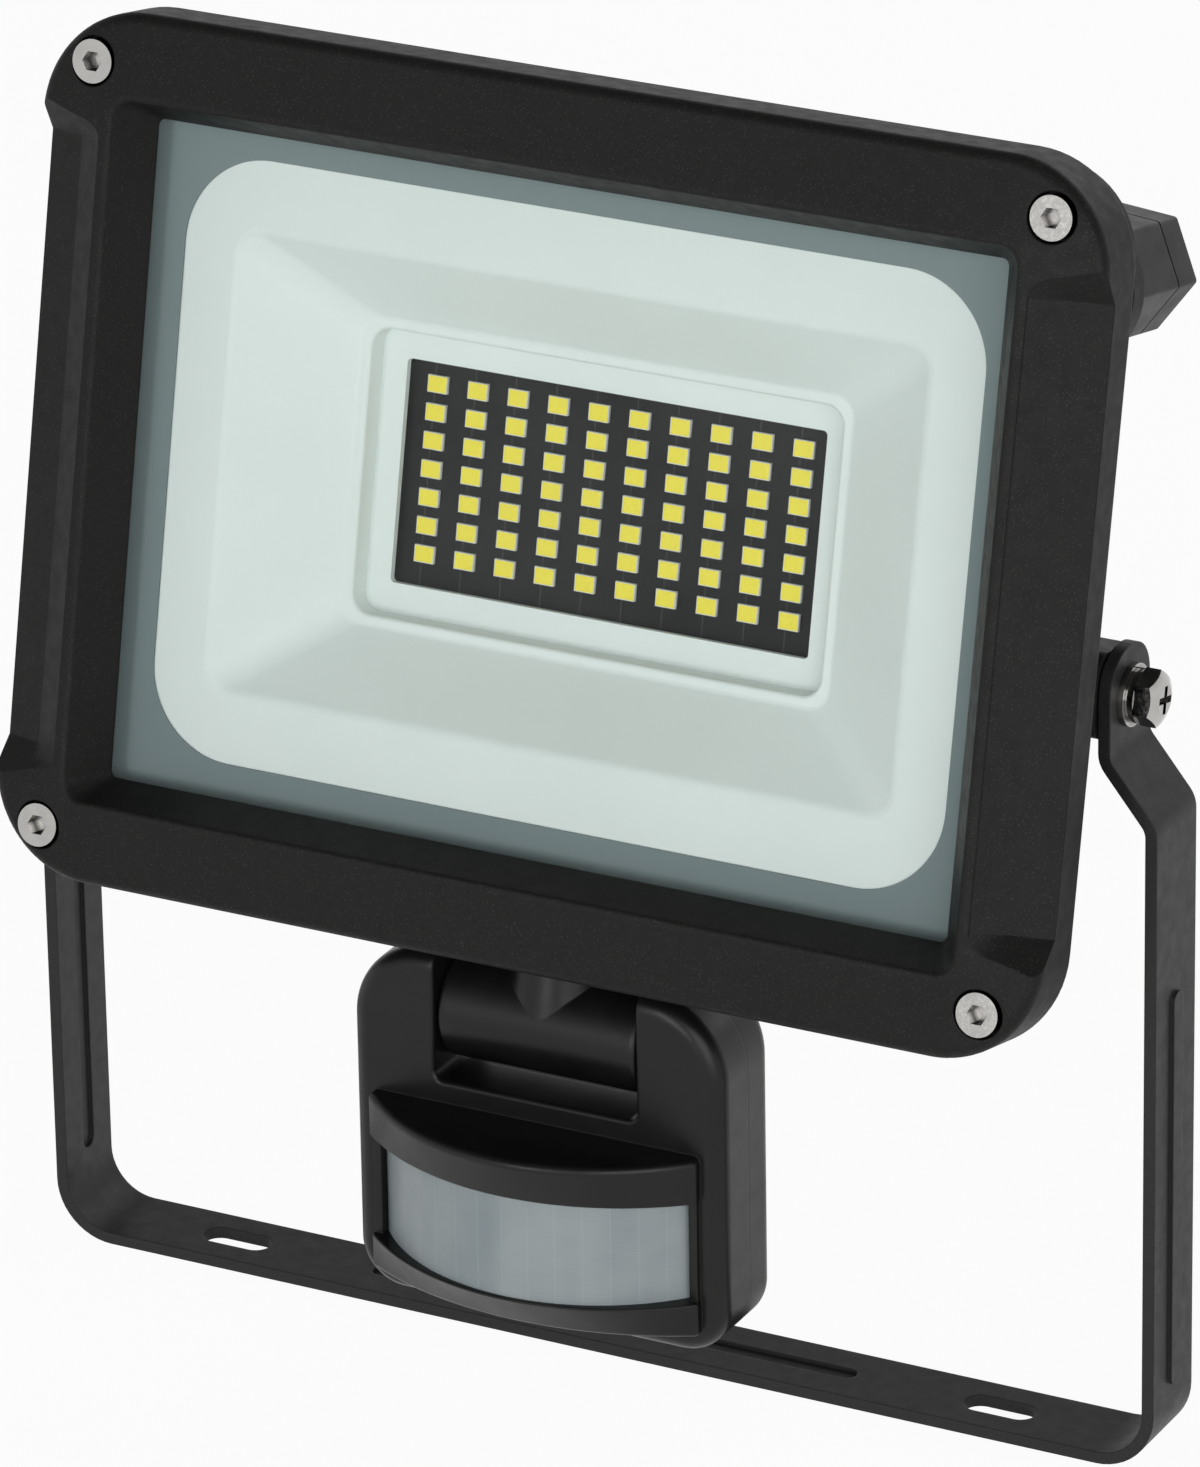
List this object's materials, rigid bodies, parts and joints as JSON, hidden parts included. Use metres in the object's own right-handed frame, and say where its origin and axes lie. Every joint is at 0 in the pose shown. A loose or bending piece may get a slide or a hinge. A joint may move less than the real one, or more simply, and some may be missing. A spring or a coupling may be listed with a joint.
{
  "type": "motion sensor floodlight",
  "caption": "Slim floodlight with cooling fins on a tilting U bracket; a hinged, swivelling motion sensor with a curved lens hangs below it.",
  "frame": {"origin": "centre of the bracket's underside, where it meets the wall", "axes": "+Z from the wall through the bracket to the lamp, +X to the right of someone facing the lamp, the lamp shines towards -Y"},
  "size_m": [0.2, 0.0889, 0.2166],
  "materials": {
    "bracket_paint": "black powder coat with a fine sparkle",
    "powder_coat": "cast, black powder coat with a fine sparkle",
    "glass": "clear, toughened",
    "print": "grey ceramic print",
    "silicone": "matt",
    "reflector_white": "white, satin",
    "board_black": "black solder mask",
    "led_white": "white moulded packages",
    "phosphor": "yellow phosphor",
    "circuit_green": "green solder mask",
    "parts_dark": "moulded",
    "terminal_white": "moulded",
    "steel": "stainless",
    "gland_black": "moulded nylon",
    "sensor_black": "moulded, fine texture",
    "lens": "milky, fine ribs",
    "knob_black": "moulded"
  },
  "bodies": {
    "bracket": {"u_bracket": "bracket_paint"},
    "head": {"front_frame": "powder_coat", "front_glass": "glass", "glass_print": "print", "glass_seal": "silicone", "reflector": "reflector_white", "led_board": "board_black", "led_packages": "led_white", "led_phosphor": "phosphor", "rear_housing": "powder_coat", "driver_board": "circuit_green", "driver_parts": "parts_dark", "driver_screws": "steel", "terminal_block": "terminal_white", "frame_screws": "steel", "board_screws": "steel", "pivot_screws": "steel", "spring_washers": "steel", "flat_washers": "steel", "gland_body": "gland_black", "gland_seal": "silicone", "gland_nut": "gland_black"},
    "neck": {"sensor_neck": "sensor_black", "neck_clip": "steel"},
    "sensor": {"sensor_front": "sensor_black", "sensor_back": "sensor_black", "sensor_lens": "lens", "sensor_board": "circuit_green", "motion_detector": "steel", "light_cell": "terminal_white", "relay": "parts_dark", "adjusters": "parts_dark", "hinge_pin": "steel", "sensor_screws": "steel"},
    "time_dial": {"time_knob": "knob_black"},
    "light_dial": {"light_knob": "knob_black"},
    "range_dial": {"range_knob": "knob_black"}
  },
  "joints": [
    {"name": "head_tilt", "type": "hinge", "parent": "bracket", "child": "head", "pos_m": [0, 0, 0.1293], "axis": [1, 0, 0], "range_deg": [-90, 80]},
    {"name": "sensor_pan", "type": "hinge", "parent": "head", "child": "neck", "pos_m": [0, -0.01366, 0.07087], "axis": [0, 0.2113, 0.9774], "range_deg": [-25, 25]},
    {"name": "sensor_tilt", "type": "hinge", "parent": "neck", "child": "sensor", "pos_m": [0, -0.01543, 0.06266], "axis": [1, 0, 0], "range_deg": [-40, 30]},
    {"name": "time_turn", "type": "hinge", "parent": "sensor", "child": "time_dial", "pos_m": [-0.015, -0.01208, 0.01466], "axis": [0, 0, 1], "range_deg": [-135, 135]},
    {"name": "light_turn", "type": "hinge", "parent": "sensor", "child": "light_dial", "pos_m": [0, -0.01208, 0.01466], "axis": [0, 0, 1], "range_deg": [-135, 135]},
    {"name": "range_turn", "type": "hinge", "parent": "sensor", "child": "range_dial", "pos_m": [0.015, -0.01208, 0.01466], "axis": [0, 0, 1], "range_deg": [-135, 135]}
  ]
}
